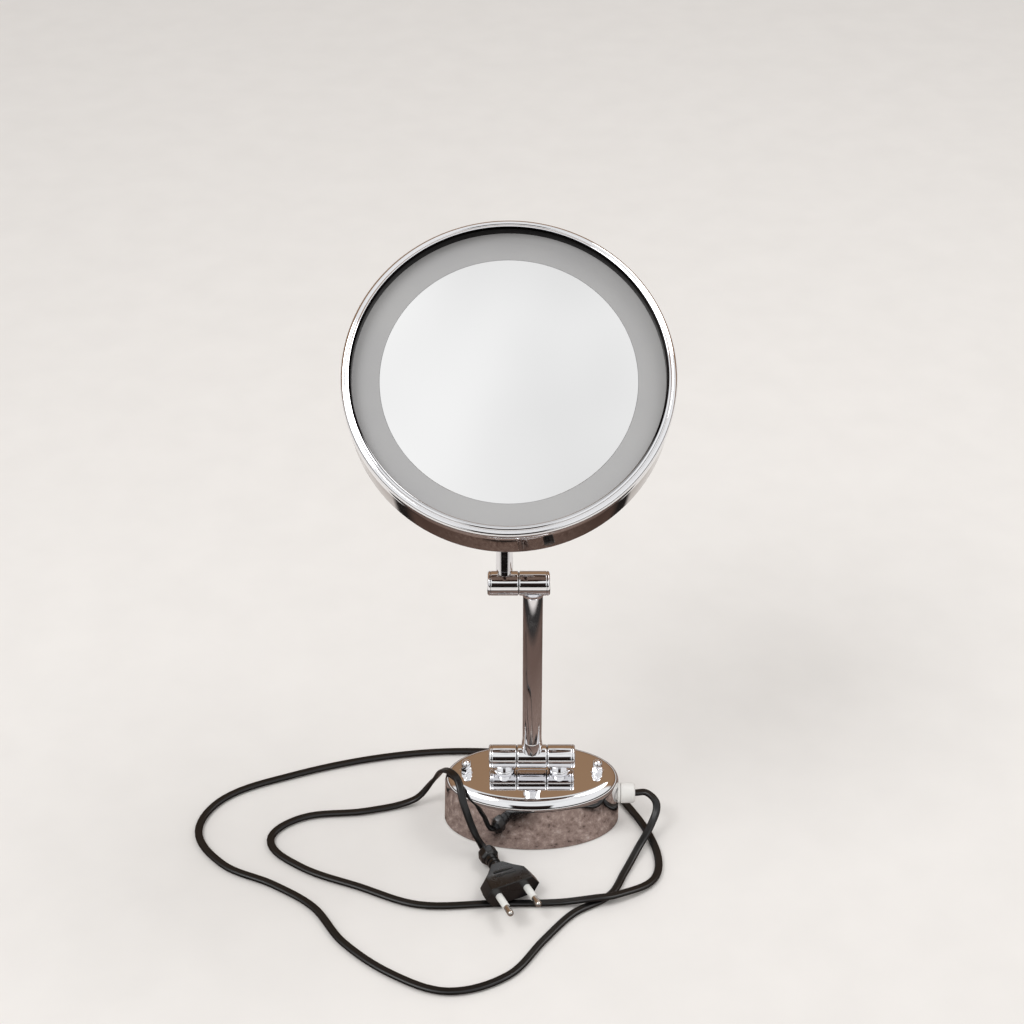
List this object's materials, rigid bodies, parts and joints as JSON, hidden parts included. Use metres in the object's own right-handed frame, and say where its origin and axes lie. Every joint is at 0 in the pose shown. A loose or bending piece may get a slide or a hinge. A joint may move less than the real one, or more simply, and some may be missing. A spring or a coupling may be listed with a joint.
{
  "type": "extendable lit shaving mirror",
  "caption": "Round lit shaving mirror on a jointed folding arm, over an oval chromed wall box with a mains lead, cable gland and two-pin plug.",
  "frame": {"origin": "centre of the wall face of the oval box, the flat side that screws to the wall", "axes": "+Z away from the wall face, +X along the hinge pins towards the cable gland, -Y the side the mirror faces"},
  "size_m": [0.2989, 0.2593, 0.3841],
  "materials": {
    "chromed_steel": "bright chrome plate",
    "zinc_steel": "zinc plated, satin",
    "friction_fibre": "matte grey fibre",
    "white_nylon": "smooth white moulded nylon",
    "black_rubber": "matte black",
    "cable_sheath": "black sheath, soft sheen",
    "core_insulation": "smooth coloured insulation",
    "lead_sheath": "smooth white",
    "black_plastic": "moulded black, half gloss",
    "plated_brass": "nickel plated",
    "core_steel": "varnished laminated steel",
    "copper_coil": "varnished copper under tape",
    "white_plastic": "white, half gloss",
    "frosted_plastic": "frosted, passes light",
    "silvered_glass": "polished mirror",
    "aluminium_sheet": "plain sheet",
    "led_yellow": "yellow phosphor"
  },
  "bodies": {
    "wall_box": {"wall_cover": "chromed_steel", "mounting_plate": "zinc_steel", "mounting_studs": "zinc_steel", "acorn_nuts": "chromed_steel", "nut_washers": "chromed_steel", "hinge_foot_left": "chromed_steel", "hinge_foot_right": "chromed_steel", "hinge_foot_washers": "zinc_steel", "hinge_foot_nuts": "zinc_steel", "base_hinge_pin": "zinc_steel", "base_hinge_caps": "chromed_steel", "base_hinge_washers": "friction_fibre", "gland_body": "white_nylon", "gland_cap": "white_nylon", "gland_locknut": "white_nylon", "gland_seal": "black_rubber", "lead_tail": "cable_sheath", "lead_cores": "core_insulation", "power_cord": "cable_sheath", "plug_body": "black_plastic", "plug_strain_relief": "black_plastic", "plug_pins": "plated_brass", "plug_pin_sleeves": "white_plastic", "transformer_core": "core_steel", "transformer_coil": "copper_coil", "transformer_strap": "zinc_steel", "strap_screws": "zinc_steel", "terminal_block": "white_plastic", "terminal_screws": "zinc_steel", "lamp_lead_base": "lead_sheath"},
    "lower_arm": {"base_centre_knuckle": "chromed_steel", "lower_arm_ferrule": "chromed_steel", "lower_arm_tube": "chromed_steel", "elbow_knuckle_lower": "chromed_steel", "elbow_pin": "zinc_steel", "elbow_cap_right": "chromed_steel", "lamp_lead_lower": "lead_sheath"},
    "upper_arm": {"elbow_knuckle_upper": "chromed_steel", "elbow_cap_left": "chromed_steel", "elbow_washer": "friction_fibre", "upper_arm_tube": "chromed_steel", "head_centre_knuckle": "chromed_steel", "lamp_lead_upper": "lead_sheath"},
    "yoke": {"head_yoke": "chromed_steel", "head_hinge_pin": "zinc_steel", "head_hinge_caps": "chromed_steel", "head_hinge_washers": "friction_fibre"},
    "mirror_head": {"casing_bracket": "chromed_steel", "tilt_pin": "zinc_steel", "bracket_screws": "zinc_steel", "rear_casing": "chromed_steel", "front_bezel": "chromed_steel", "diffuser_ring": "frosted_plastic", "mirror_glass": "silvered_glass", "led_tray": "aluminium_sheet", "led_board": "white_plastic", "led_chips": "led_yellow", "switch_body": "black_plastic", "switch_spring": "zinc_steel"},
    "push_button": {"switch_button": "black_plastic"}
  },
  "joints": [
    {"name": "base_swing", "type": "hinge", "parent": "wall_box", "child": "lower_arm", "pos_m": [0, 0.0035, 0.0487], "axis": [1, 0, 0], "range_deg": [-75, 80]},
    {"name": "elbow_swing", "type": "hinge", "parent": "lower_arm", "child": "upper_arm", "pos_m": [-0.0086, 0.01342, 0.18063], "axis": [-1, 0, 0], "range_deg": [-110, 110]},
    {"name": "head_swing", "type": "hinge", "parent": "upper_arm", "child": "yoke", "pos_m": [-0.0144, 0.05161, 0.27908], "axis": [1, 0, 0], "range_deg": [-140, 30]},
    {"name": "head_tilt", "type": "hinge", "parent": "yoke", "child": "mirror_head", "pos_m": [-0.0144, 0.04256, 0.29079], "axis": [0, 0.7912, 0.6115], "range_deg": [-20, 20]},
    {"name": "switch_press", "type": "slide", "parent": "mirror_head", "child": "push_button", "axis": [-0.2368, 0.7687, 0.5941], "range_m": [0, 0.0012], "stiffness_N_per_m": 800, "springref_m": -0.001, "deforming": ["switch_spring"]}
  ]
}
